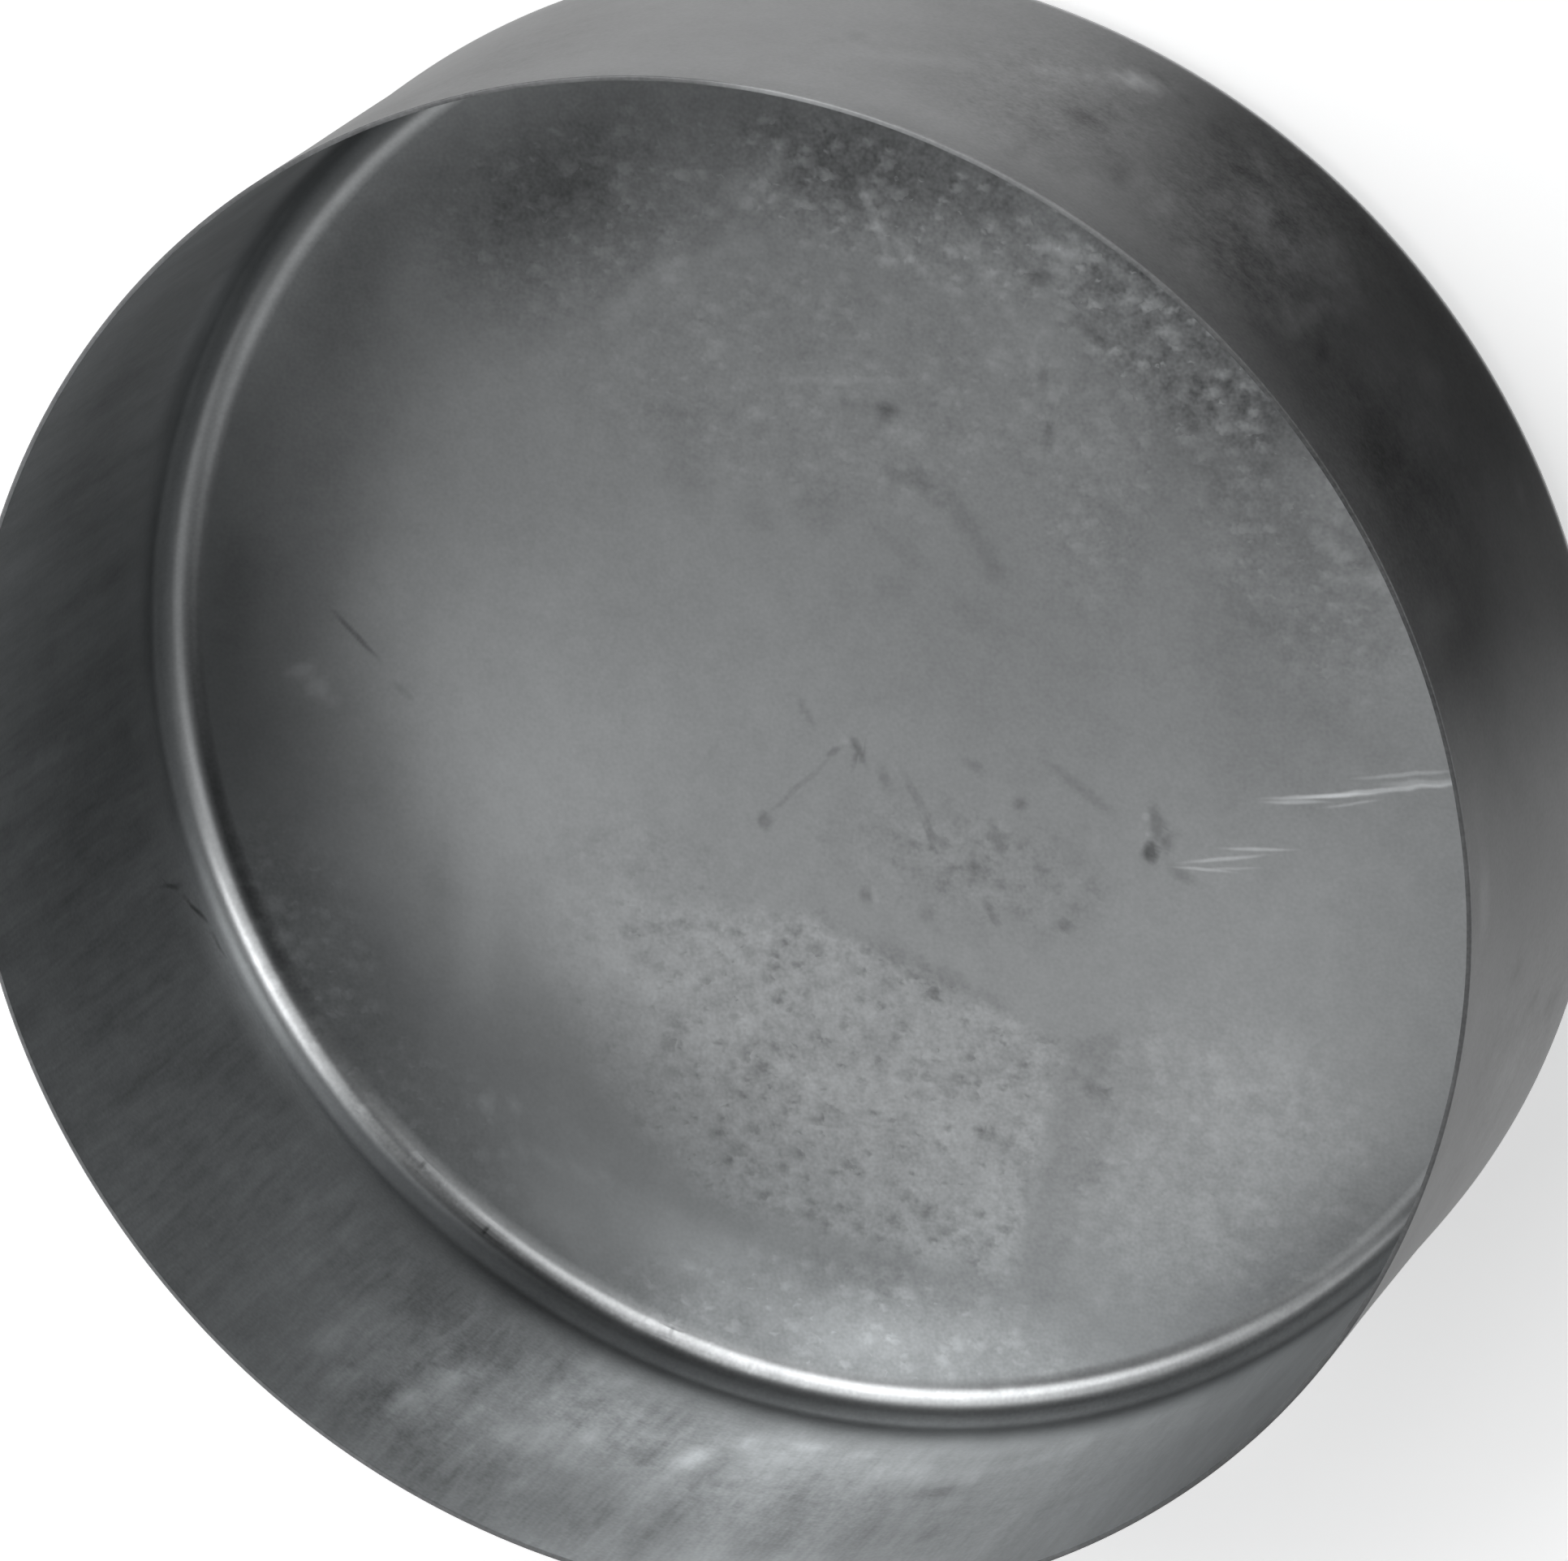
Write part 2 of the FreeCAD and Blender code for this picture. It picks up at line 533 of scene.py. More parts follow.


# Galvanised sheet steel: mild steel sheet that was dipped in molten zinc, then drawn to
# a cup between a punch and a die. The flat closed end keeps the grey, half matt zinc
# skin with its cloudy bloom. The tools ironed the bend and the wall, which are smoother
# and carry fine draw lines up the wall. Handling left scuffs, rubs and stain spots.
# Broad lighter and darker areas of the closed end, the bend, the wall and the cut edge
# are painted light and shade.
# Every pattern is laid out in millimetres on the piece's own coordinates.

# The zinc outside, and the slightly cooler zinc inside
ZINC = "#a9aaab"
ZINC_COOL = "#a6a8a9"
FLAT_ROUGHNESS = 0.38
BEND_ROUGHNESS = 0.29
FAR_BEND_ROUGHNESS = 0.38
WALL_ROUGHNESS = 0.32

# Where the skin changes over: at the bend by the distance from the axis, at the wall, the cut
# edge and the draw lines by height, and to the far side of the bend along Y
BEND_SETS_IN = (95.2, 96.5)
WALL_SETS_IN = (1.5, 4.0)
CUT_EDGE_SETS_IN = (64.7, 64.9)
DRAW_LINES_SET_IN = (6, 16)
FAR_SIDE_SETS_IN = (-40.0, -8.0)

# Which face a mark lies on: the radius between the two faces of the wall, and the heights above
# which the wall, the cut edge and its rolled corner start
WALL_MIDDLE = 100.3
WALL_FOOT = 3.0
CUT_EDGE = 64.95
ROLLED_CORNER = 64.82

# The bands of the bend's painted highlight and shade: the first one starts at this distance from the axis,
# the other two at these heights, and the last one ends at that height
BEND_PAINTED_LIGHT_START = (94.9, 95.6)
HALFWAY_SETS_IN = (0.9, 1.4)
NEAR_WALL_SETS_IN = (1.9, 2.8)
BEND_PAINTED_LIGHT_END = (4.6, 6.4)

# How far ragged outlines stray, on the closed end and on the wall, and the size of their waves.
# The seed keeps them the same in every run.
WANDER = 1.4
WALL_WANDER = 0.8
WANDER_SIZE = 2.5
WANDER_SEED = 1

# Sizes of the bloom's patterns and of the draw lines, which are long up the wall
CLOUD_SIZE = 24.0
MOTTLE_SIZE = 6.5
GRIT_SIZE = 2.0
GRAIN_SIZE = 0.5
DRAW_LINE_SIZE = 7.0
DRAW_LINE_STRETCH = (1, 1, 0.12)

# Spots: how far apart they are and how far they stray, their slant in degrees and their stretch,
# the share left out, and the reach of the smallest and the largest as a share of the spacing
SPOT_SPACING = 2.3
SPOT_STRAY = (2.6, 2.6, 2.6)
SPOT_SLANT = 22
SPOT_STRETCH = (0.66, 1, 1)
SPOTS_LEFT_OUT = 0.25
SPOT_REACHES = (0.02, 0.75)

# How much lighter or darker the closed end is all over, in the stained patch, in the bare strip
# beside it and in the patch beyond, and the ticks across the bend
PLAIN_TONE = 0.04
STAINED_TONE = 0.19
STRIP_TONE = -0.11
BEYOND_TONE = 0.11
TICK_TONE = -0.32

# The stain is weakest at its left end: its share there, and where it sets in along X. The patch
# beyond the strip has this share of speckles and frosting.
STAIN_LEAST = 0.15
STAIN_SETS_IN = (-50, -18)
BEYOND_SHARE = 0.2

# Rubs, scratches and stains on the closed end: x, y, half length and half width in
# millimetres, the turn in degrees, and how much lighter or darker the zinc is there
CLOSED_END_MARKS = (
    (69.5, -4.0, 14.0, 0.50, 12, 0.75),
    (62.0, -5.6, 10.0, 0.45, 9, 0.75),
    (58.5, -6.8, 6.0, 0.40, 7, 0.60),
    (76.0, -2.2, 8.0, 0.70, 8, 0.45),
    (66.0, -6.2, 5.0, 0.30, 15, 0.40),
    (73.0, -1.4, 9.0, 0.40, 11, 0.45),
    (48.8, -15.8, 7.5, 0.40, 12, 0.55),
    (53.5, -13.9, 6.5, 0.35, 6, 0.55),
    (46.0, -17.6, 5.5, 0.32, 2, 0.45),
    (50.0, -17.0, 5.0, 0.25, 8, 0.30),
    (38.9, -16.0, 1.2, 2.0, 0, -0.56),
    (38.0, -11.4, 1.0, 0.8, 0, 0.18),
    (38.8, -13.6, 1.0, 0.7, 0, 0.20),
    (39.6, -12.4, 1.6, 4.2, 12, -0.30),
    (41.6, -14.4, 1.4, 3.0, -30, -0.30),
    (43.0, -18.6, 2.8, 1.4, -30, -0.22),
    (29.2, -8.6, 7.5, 1.2, -34, -0.18),
    (17.5, -16.5, 1.3, 3.4, 10, -0.24),
    (18.6, -15.6, 0.7, 2.0, 0, 0.16),
    (21.0, -11.6, 1.3, 1.5, 0, -0.34),
    (14.3, -20.9, 1.0, 1.7, -10, -0.30),
    (17.3, -27.6, 1.0, 2.3, 25, -0.28),
    (27.4, -27.9, 1.4, 1.2, 0, -0.32),
    (24.3, -22.5, 1.8, 1.4, 0, -0.18),
    (14.6, -6.7, 0.9, 1.8, 20, -0.18),
    (31.5, -22.5, 1.8, 1.2, -40, -0.14),
    (8.2, -29.0, 2.0, 1.2, -20, -0.16),
    (-0.4, -27.2, 1.2, 1.3, 0, -0.30),
    (0.9, -26.8, 0.8, 1.0, 0, 0.16),
    (-6.3, -20.6, 2.2, 1.0, -20, -0.16),
    (-10.0, -13.0, 8.8, 0.60, 45, -0.15),
    (-1.6, -6.8, 2.8, 0.8, -58, -0.36),
    (-3.6, -6.0, 2.0, 0.5, 30, 0.16),
    (-4.9, -7.3, 2.0, 0.7, 40, -0.24),
    (2.4, -10.4, 2.8, 1.0, -40, -0.22),
    (6.5, -12.0, 4.6, 1.1, -56, -0.18),
    (8.6, -16.8, 0.9, 3.4, 0, -0.32),
    (-9.0, -2.2, 3.2, 0.6, -60, -0.18),
    (-14.6, -18.2, 1.4, 1.8, 30, -0.28),
    (-23.0, -11.0, 6.0, 0.8, 55, -0.06),
    (-72.6, 1.0, 6.2, 0.60, -43, -0.42),
    (-66.0, -6.0, 2.8, 0.8, -38, -0.16),
    (-80.6, -4.8, 2.4, 1.5, 30, 0.40),
    (-78.6, -6.8, 2.0, 2.4, 10, 0.40),
    (-76.6, -8.4, 1.8, 1.4, -20, 0.28),
    (-54.6, -63.6, 1.8, 1.8, 0, 0.50),
    (-50.7, -63.2, 1.5, 1.5, 0, 0.40),
    (31.5, -50.0, 2.8, 1.5, 0, -0.30),
    (23.6, 46.8, 1.0, 2.0, 0, -0.26),
    (25.0, 44.6, 1.2, 1.0, 0, 0.24),
    (24.4, 40.0, 0.8, 5.0, -4, -0.20),
    (22.0, 49.0, 1.0, 3.0, 0, 0.16),
    (0.0, 40.8, 8.0, 1.1, 3, -0.16),
    (2.0, 40.0, 2.4, 1.6, 20, -0.30),
    (-5.0, 43.5, 12.0, 0.8, 6, 0.14),
    (-34.0, 51.0, 6.0, 2.2, 44, 0.15),
    (-27.0, 56.5, 6.0, 2.2, 30, 0.15),
    (-18.0, 60.5, 6.0, 2.0, 16, 0.10),
    (-26.0, 30.0, 4.6, 8.0, 0, -0.09),
    (-28.0, 36.6, 5.0, 1.6, -6, -0.10),
    (-15.5, 23.5, 4.0, 3.4, 0, -0.09),
    (4.0, 31.8, 4.6, 2.0, -8, -0.12),
    (9.0, 30.0, 4.6, 2.4, -32, -0.18),
    (13.0, 26.0, 4.8, 2.2, -52, -0.16),
    (16.8, 20.5, 4.6, 2.0, -68, -0.16),
    (14.0, 13.5, 5.0, 1.8, -40, -0.08),
    (-7.0, 26.0, 6.0, 4.0, 14, -0.10),
    (4.0, 22.0, 7.0, 1.8, -36, -0.10),
    (3.0, 16.0, 6.0, 1.6, -32, -0.08),
    (0.5, 66.0, 7.5, 1.0, -68, 0.34),
    (5.5, 61.0, 8.5, 0.9, -46, 0.26),
    (13.0, 63.5, 7.0, 1.0, -40, 0.22),
    (17.5, 57.0, 9.0, 0.9, -52, 0.18),
    (-16.0, 68.5, 7.0, 4.5, 10, 0.20),
    (-13.0, 72.0, 1.8, 3.0, 0, 0.34),
    (26.5, 64.0, 4.6, 1.4, -8, 0.60),
    (34.0, 61.0, 7.0, 1.6, -34, 0.40),
    (40.5, 55.0, 5.0, 1.2, -42, 0.34),
    (30.0, 54.0, 4.0, 1.4, -30, -0.30),
    (22.0, 60.5, 4.6, 1.4, -36, -0.34),
    (68.0, 24.5, 7.0, 1.4, 8, 0.26),
    (62.0, 29.0, 6.0, 1.1, -30, 0.22),
    (-45.0, -70.4, 14.0, 1.1, -14, 0.20),
    (8.0, -36.5, 20.0, 2.0, -20, -0.20),
)

# Broad lighter and darker areas of the closed end, written likewise: partly the bloom's own uneven tone,
# and partly painted light and shade that copy the reflections the closed end shows there
CLOSED_END_BLOOM_AND_PAINTED_LIGHT = (
    (24.0, 12.0, 46.0, 34.0, -20, -0.08),
    (8.0, -60.0, 44.0, 26.0, 0, 0.06),
    (-40.0, -46.0, 22.0, 16.0, 0, 0.06),
    (74.0, 16.0, 8.0, 22.0, 0, 0.10),
    (-28.0, 64.0, 26.0, 12.0, 10, -0.14),
    (-74.0, 48.0, 10.0, 18.0, -20, -0.24),
    (-90.0, 4.0, 5.0, 18.0, 0, -0.16),
    (-77.0, -34.0, 13.0, 24.0, 16, 0.26),
    (-52.0, -63.0, 28.0, 16.0, -42, 0.26),
    (-30.0, -70.0, 30.0, 18.0, -28, 0.18),
    (-44.0, -80.0, 14.0, 6.0, -32, 0.30),
    (-76.0, -46.0, 8.0, 12.0, 24, 0.12),
    (-38.0, 64.0, 10.0, 8.0, 20, -0.10),
    (-4.0, 70.0, 16.0, 6.0, 0, -0.10),
    (32.0, 66.0, 12.0, 6.0, -30, -0.14),
    (50.0, 18.0, 12.0, 12.0, 0, -0.08),
    (54.0, 4.0, 16.0, 32.0, 0, -0.12),
    (63.0, 36.0, 16.0, 10.0, -50, 0.20),
    (34.0, 62.0, 15.0, 8.0, -30, -0.18),
    (38.0, 31.0, 12.0, 12.0, 0, -0.08),
    (-48.0, 50.0, 28.0, 12.0, 30, -0.12),
    (-32.0, 60.0, 12.0, 8.0, 10, -0.08),
    (-30.0, -18.0, 46.0, 56.0, 0, 0.06),
    (-22.0, -75.0, 16.0, 3.6, -18, -0.10),
    (6.0, -79.6, 24.0, 3.4, -4, -0.14),
    (-55.5, -43.0, 5.0, 17.0, -6, 0.14),
    (-61.0, -33.0, 3.5, 11.0, 0, -0.12),
    (-52.0, -22.0, 37.0, 64.0, 15, 0.22),
    (-48.0, -71.0, 30.0, 15.0, -40, 0.30),
    (0.0, -90.0, 36.0, 8.0, 0, 0.26),
    (-20.0, -82.0, 28.0, 9.0, -16, 0.18),
    (18.0, -86.0, 16.0, 4.0, 10, 0.14),
    (52.0, 46.0, 42.0, 24.0, -48, -0.42),
    (66.0, 10.0, 18.0, 30.0, 0, -0.06),
    (2.0, 75.0, 50.0, 16.0, 0, -0.42),
    (-46.0, 67.0, 30.0, 15.0, 40, -0.44),
    (-66.0, 62.0, 24.0, 9.0, 46, -0.28),
    (-78.0, 28.0, 18.0, 42.0, -14, -0.18),
    (-64.0, -38.0, 20.0, 26.0, 20, 0.16),
    (-34.0, -78.0, 26.0, 11.0, -24, 0.24),
    (62.0, -48.0, 20.0, 20.0, 0, 0.08),
    (54.0, -26.0, 32.0, 52.0, 0, 0.10),
)

# Stained zinc on the closed end, each patch by its corners: a speckled patch, a bare strip
# beside its straight side, and a lighter patch beyond that
STAINED_CORNERS = (
    (-50.0, -31.0), (-47.0, -42.0), (-37.0, -61.0), (-22.0, -73.0), (20.0, -79.0), (27.0, -44.5),
    (2.0, -34.0), (-8.0, -31.0),
)
STRIP_CORNERS = ((20.5, -80.5), (26.0, -81.0), (34.5, -55.0), (36.0, -41.0), (28.5, -43.0))
BEYOND_CORNERS = (
    (27.0, -81.0), (48.0, -76.0), (66.0, -56.0), (58.0, -38.0), (36.5, -41.0), (35.0, -55.0),
)

# Speckled and frosted areas of the closed end: x, y, half length, half width, turn, share
SPECKLED_AREAS = (
    (14.0, -21.0, 27.0, 11.5, -8, 0.55),
    (-32.0, -27.0, 24.0, 10.0, -8, 0.30),
)
FROSTED_AREAS = (
    (-38.0, 64.0, 34.0, 18.0, 26, 0.40),
    (6.0, 68.0, 40.0, 15.0, -10, 0.70),
    (40.0, 54.0, 28.0, 13.0, -42, 0.95),
    (58.0, 30.0, 34.0, 18.0, -58, 0.36),
    (30.0, 36.0, 14.0, 26.0, 0, 0.30),
    (-4.0, 44.0, 50.0, 24.0, 0, 0.30),
    (-80.0, -44.0, 12.0, 24.0, 24, 0.55),
    (-64.0, -66.0, 22.0, 12.0, -40, 0.40),
    (-4.0, -88.0, 44.0, 12.0, 0, 0.55),
    (48.0, -60.0, 34.0, 30.0, 0, 0.32),
)

# Smeared patches of the wall: angle, height, half width, half height, lean, outside or not, share
WALL_SMEARS = (
    (257.0, 24.0, 34.0, 22.0, 0, False, 0.60),
    (243.0, 42.0, 24.0, 34.0, 0, False, 0.40),
    (270.0, 30.0, 30.0, 30.0, 0, False, 0.50),
    (292.0, 34.0, 40.0, 34.0, 0, False, 0.35),
    (52.0, 30.0, 24.0, 40.0, 0, True, 1.40),
    (34.0, 40.0, 30.0, 40.0, 0, True, 0.50),
    (68.0, 34.0, 22.0, 34.0, 0, True, 0.80),
    (-16.0, 30.0, 30.0, 40.0, 0, True, 0.40),
    (110.0, 44.0, 20.0, 34.0, 0, True, 0.30),
    (165.0, 26.0, 44.0, 30.0, 8, True, 0.50),
    (206.0, 46.0, 36.0, 26.0, -6, True, 0.40),
    (252.0, 30.0, 50.0, 34.0, 0, True, 0.50),
    (298.0, 40.0, 34.0, 30.0, 0, True, 0.40),
)

# Tones of the cut edge round the rim, as angle and lighter or darker. Its bare steel is darker than the
# zinc, and how much darker or lighter it is round the rim is painted shade and highlight.
RIM_STEEL_AND_PAINTED_LIGHT = (
    (-180, -0.35), (-60, -0.35), (-50, -0.45), (-20, -0.40), (0, -0.50), (40, -0.70), (52, -0.45),
    (60, -0.25), (72, -0.15), (84, 0.10), (90, -0.45), (125, -0.50), (140, -0.35), (180, -0.35),
)

# Painted highlight and shade on the drawn bend, which whiten its highlight here and narrow it there:
# angle, and lighter or darker next to the flat, in the middle and next to the wall
BEND_PAINTED_LIGHT = (
    (0, 0.00, 0.00, 0.00),
    (120, 0.00, 0.00, 0.00),
    (135, 0.10, 0.20, 0.10),
    (165, 0.00, 0.00, 0.00),
    (180, -0.30, 0.00, 0.10),
    (195, -0.50, 0.40, 0.30),
    (210, -0.20, 0.35, 0.40),
    (225, 0.20, -0.25, 0.25),
    (240, 0.05, -0.60, 0.10),
    (255, 0.10, -0.40, -0.10),
    (270, 0.10, -0.25, -0.05),
    (285, -0.20, -0.25, -0.20),
    (300, -0.20, -0.35, -0.30),
    (315, 0.20, -0.10, 0.00),
    (330, 0.00, 0.00, 0.00),
    (360, 0.00, 0.00, 0.00),
)

# Rubs on the wall, and broad areas of painted light and shade on it: angle round the axis in degrees,
# height, half width along the wall, half height, lean in degrees, on the outside or not, and how much
# lighter or darker
WALL_MARKS_AND_PAINTED_LIGHT = (
    (308.0, 34.0, 34.0, 44.0, 0, False, 0.28),
    (276.0, 42.0, 30.0, 22.0, 0, False, -0.30),
    (242.0, 20.0, 22.0, 24.0, 0, False, -0.38),
    (252.0, 58.0, 44.0, 22.0, 0, False, -0.40),
    (292.0, 11.0, 52.0, 9.0, 0, False, 0.40),
    (301.0, 20.0, 24.0, 20.0, 0, False, 0.24),
    (318.0, 30.0, 14.0, 22.0, 0, False, 0.20),
    (131.0, 40.0, 9.0, 26.0, 0, False, -0.25),
    (260.0, 42.0, 30.0, 18.0, 0, False, -0.18),
    (232.0, 22.0, 16.0, 18.0, 0, False, -0.16),
    (150.0, 12.0, 16.0, 9.0, 0, False, 0.45),
    (150.0, 6.5, 46.0, 3.5, 0, False, 0.45),
    (206.0, 5.5, 24.0, 3.5, 0, False, 0.30),
    (214.0, 36.0, 76.0, 76.0, 0, False, -0.38),
    (178.0, 30.0, 54.0, 44.0, 0, False, -0.18),
    (148.0, 38.0, 42.0, 30.0, 0, False, -0.40),
    (316.0, 62.0, 14.0, 8.0, 0, False, -0.22),
    (268.0, 19.0, 12.0, 8.0, 0, False, 0.20),
    (261.3, 27.5, 2.8, 6.5, 10, False, 0.80),
    (263.6, 19.0, 2.6, 5.0, 20, False, 0.45),
    (268.4, 15.4, 4.0, 2.6, 0, False, 0.45),
    (266.2, 17.8, 2.2, 2.4, 0, False, -0.30),
    (272.6, 17.0, 4.0, 2.2, -20, False, 0.24),
    (279.0, 22.0, 18.0, 5.0, 4, False, 0.14),
    (288.0, 20.0, 9.0, 3.0, -20, False, 0.18),
    (252.0, 15.5, 2.4, 7.0, 6, False, 0.36),
    (249.8, 13.0, 2.0, 5.0, 0, False, 0.26),
    (254.6, 22.0, 1.6, 4.5, 10, False, 0.32),
    (257.2, 22.5, 1.6, 5.0, 12, False, -0.26),
    (253.7, 32.0, 1.8, 7.0, 10, False, 0.30),
    (252.6, 52.0, 1.4, 8.0, -5, False, 0.22),
    (249.0, 41.0, 1.8, 5.0, 0, False, 0.26),
    (247.6, 51.0, 1.4, 9.0, 0, False, 0.24),
    (241.3, 47.0, 1.5, 7.0, 4, False, 0.34),
    (242.2, 36.0, 2.4, 6.0, 14, False, 0.38),
    (244.0, 29.0, 2.0, 4.0, 20, False, 0.26),
    (240.0, 44.0, 1.3, 15.0, 0, False, -0.34),
    (236.8, 51.0, 1.5, 8.0, 8, False, 0.24),
    (234.0, 45.0, 1.8, 10.0, 0, False, 0.26),
    (233.2, 23.0, 1.6, 8.0, 14, False, 0.18),
    (229.5, 22.0, 5.0, 6.0, 0, False, 0.10),
    (251.2, 27.0, 1.2, 9.0, -8, False, -0.24),
    (258.0, 30.0, 3.0, 7.0, 20, False, -0.24),
    (267.0, 31.0, 7.0, 2.0, -12, False, -0.26),
    (281.5, 29.0, 7.0, 4.0, 0, False, -0.34),
    (284.0, 44.0, 3.0, 5.0, 20, False, -0.20),
    (199.2, 14.0, 0.7, 4.5, 18, False, -0.40),
    (205.4, 7.4, 3.0, 0.8, -20, False, -0.35),
    (202.0, 9.4, 5.0, 0.8, -38, False, -0.50),
    (186.0, 17.0, 3.0, 5.0, 0, False, -0.16),
    (184.0, 42.0, 1.0, 12.0, 0, False, 0.14),
    (158.0, 15.0, 14.0, 5.0, 0, False, 0.12),
    (-46.0, 35.0, 50.0, 76.0, 0, True, -0.30),
    (118.0, 60.0, 14.0, 18.0, 0, True, -0.18),
    (50.0, 65.0, 150.0, 7.0, 0, True, -0.16),
    (23.0, 52.0, 5.0, 16.0, 0, True, 0.20),
    (50.0, 31.0, 18.0, 8.0, 0, True, 0.14),
    (-28.0, 60.0, 18.0, 16.0, 0, True, -0.18),
    (132.0, 38.0, 34.0, 70.0, 0, True, -0.36),
    (31.0, 52.0, 50.0, 26.0, 0, True, -0.42),
    (36.0, 14.0, 24.0, 20.0, 0, True, -0.15),
    (112.0, 40.0, 26.0, 60.0, 0, True, -0.28),
    (48.0, 9.0, 36.0, 8.0, 0, True, -0.22),
    (66.0, 16.6, 6.5, 3.2, 52, True, 1.00),
    (69.5, 25.0, 9.0, 3.0, 44, True, 0.28),
    (79.0, 40.0, 12.0, 3.5, 36, True, 0.16),
    (64.8, 13.0, 1.6, 3.0, 30, True, -0.35),
    (46.5, 25.0, 8.0, 7.0, 0, True, 0.44),
    (49.4, 31.0, 3.0, 3.0, 0, True, 0.30),
    (57.5, 44.0, 2.4, 5.0, 0, True, 0.26),
    (61.0, 47.0, 1.6, 6.0, 0, True, -0.22),
    (54.0, 52.0, 2.0, 7.0, 0, True, 0.20),
    (39.0, 36.0, 6.0, 6.0, 0, True, 0.14),
    (36.0, 22.0, 5.0, 5.0, 0, True, 0.20),
    (44.6, 36.0, 1.6, 9.0, -10, True, 0.60),
    (46.6, 45.0, 1.4, 6.0, -16, True, 0.40),
    (67.2, 55.0, 1.6, 12.0, 0, True, -0.18),
    (50.6, 45.0, 1.4, 8.0, 0, True, -0.24),
    (42.4, 45.0, 2.2, 5.0, 10, True, -0.26),
    (62.0, 52.0, 1.6, 6.0, -10, True, 0.18),
    (55.0, 17.0, 1.4, 4.0, 10, True, 0.40),
    (52.4, 30.0, 1.4, 4.0, 20, True, 0.36),
    (63.0, 13.0, 1.4, 3.0, 30, True, -0.30),
    (45.5, 47.0, 2.0, 7.0, -6, True, 0.36),
    (48.0, 20.0, 3.0, 6.0, -20, True, 0.26),
    (33.0, 34.0, 5.0, 12.0, -16, True, 0.14),
    (27.0, 44.0, 6.0, 8.0, -20, True, 0.12),
    (42.0, 46.0, 1.6, 4.0, 0, True, 0.20),
    (53.0, 27.0, 3.0, 3.5, 0, True, 0.30),
    (51.0, 26.0, 3.0, 5.0, 0, True, -0.30),
    (55.5, 21.0, 4.5, 5.0, 0, True, -0.28),
    (59.0, 17.0, 4.0, 4.0, 0, True, -0.24),
    (59.5, 44.0, 2.0, 6.0, 0, True, 0.20),
    (57.5, 49.0, 1.6, 4.0, 0, True, 0.24),
    (66.0, 36.0, 4.0, 4.0, 10, True, -0.28),
    (84.0, 38.0, 2.0, 5.0, -20, True, -0.20),
    (25.0, 14.0, 3.0, 3.0, 0, True, 0.26),
    (35.0, 48.0, 4.0, 10.0, 0, True, -0.12),
    (-14.0, 17.0, 3.0, 5.0, -30, True, -0.24),
    (-11.0, 30.0, 2.0, 6.0, -24, True, -0.22),
    (-6.0, 42.0, 2.0, 5.0, -24, True, -0.18),
    (-23.0, 42.0, 2.0, 8.0, -24, True, -0.18),
    (-16.0, 34.0, 6.0, 12.0, -24, True, 0.14),
    (3.0, 59.0, 8.0, 3.0, 0, True, 0.24),
)


def patch(across, up, x, y, half_long, half_wide, turn, fade):
    """1 in the middle of an ellipse and 0 outside it. fade is the share of its radius that eases off."""
    a = math.radians(turn)
    along = (across - x) * math.cos(a) + (up - y) * math.sin(a)
    aside = (up - y) * math.cos(a) - (across - x) * math.sin(a)
    return eased(1 - np.hypot(along / half_long, aside / half_wide), 0, fade)


def within(across, up, corners, fade):
    """1 inside an outline on the closed end whose corners go round anticlockwise, easing off over fade."""
    depth = np.full(len(across), 1e3)
    for (x0, y0), (x1, y1) in zip(corners, corners[1:] + corners[:1]):
        length = math.hypot(x1 - x0, y1 - y0)
        depth = np.minimum(depth, ((x1 - x0) * (up - y0) - (y1 - y0) * (across - x0)) / length)
    return eased(depth, -fade / 2, fade / 2)


def round_axis(angles, angle, radius):
    """How far round the axis each point lies from that angle in degrees, on that radius."""
    return (np.mod(angles - math.radians(angle) + math.pi, 2 * math.pi) - math.pi) * radius


def closed_end_skin_and_painted_light(x, y, z, wander):
    """Tone, speckled stain and frosting of the inner face of the closed end. Its broad areas are partly
    bloom and partly painted light and shade.
    """
    ragged_x, ragged_y = x + WANDER * wander[:, 0], y + WANDER * wander[:, 1]
    tone = np.zeros(len(x))
    for *spot, change in CLOSED_END_MARKS:
        stray = min(WANDER, 0.4 * min(spot[2:4]))
        tone += change * patch(x + stray * wander[:, 0], y + stray * wander[:, 1], *spot, fade=0.7)
    # The broad areas: the bloom's uneven tone, and painted light and shade
    for *spot, change in CLOSED_END_BLOOM_AND_PAINTED_LIGHT:
        tone += change * patch(ragged_x, ragged_y, *spot, fade=1.0)

    stained = within(ragged_x, ragged_y, STAINED_CORNERS, fade=4.0)
    strip = within(ragged_x, y, STRIP_CORNERS, fade=2.0)
    beyond = within(ragged_x, ragged_y, BEYOND_CORNERS, fade=14.0)
    stained *= STAIN_LEAST + (1 - STAIN_LEAST) * eased(ragged_x, *STAIN_SETS_IN)
    tone += PLAIN_TONE + STAINED_TONE * stained + STRIP_TONE * strip + BEYOND_TONE * beyond

    speckled = np.maximum(stained, BEYOND_SHARE * beyond)
    for *spot, share in SPECKLED_AREAS:
        speckled = np.maximum(speckled, share * patch(ragged_x, ragged_y, *spot, fade=0.8))
    frosted = BEYOND_SHARE * beyond
    for *spot, share in FROSTED_AREAS:
        frosted = np.maximum(frosted, share * patch(ragged_x, ragged_y, *spot, fade=0.6))

    # The limits are wider than the sheet because slack lifts the inner face a little
    here = (z > 0.75 * INNER_FACE) & (z < WALL_FOOT)
    return tone * here, speckled * here, frosted * here


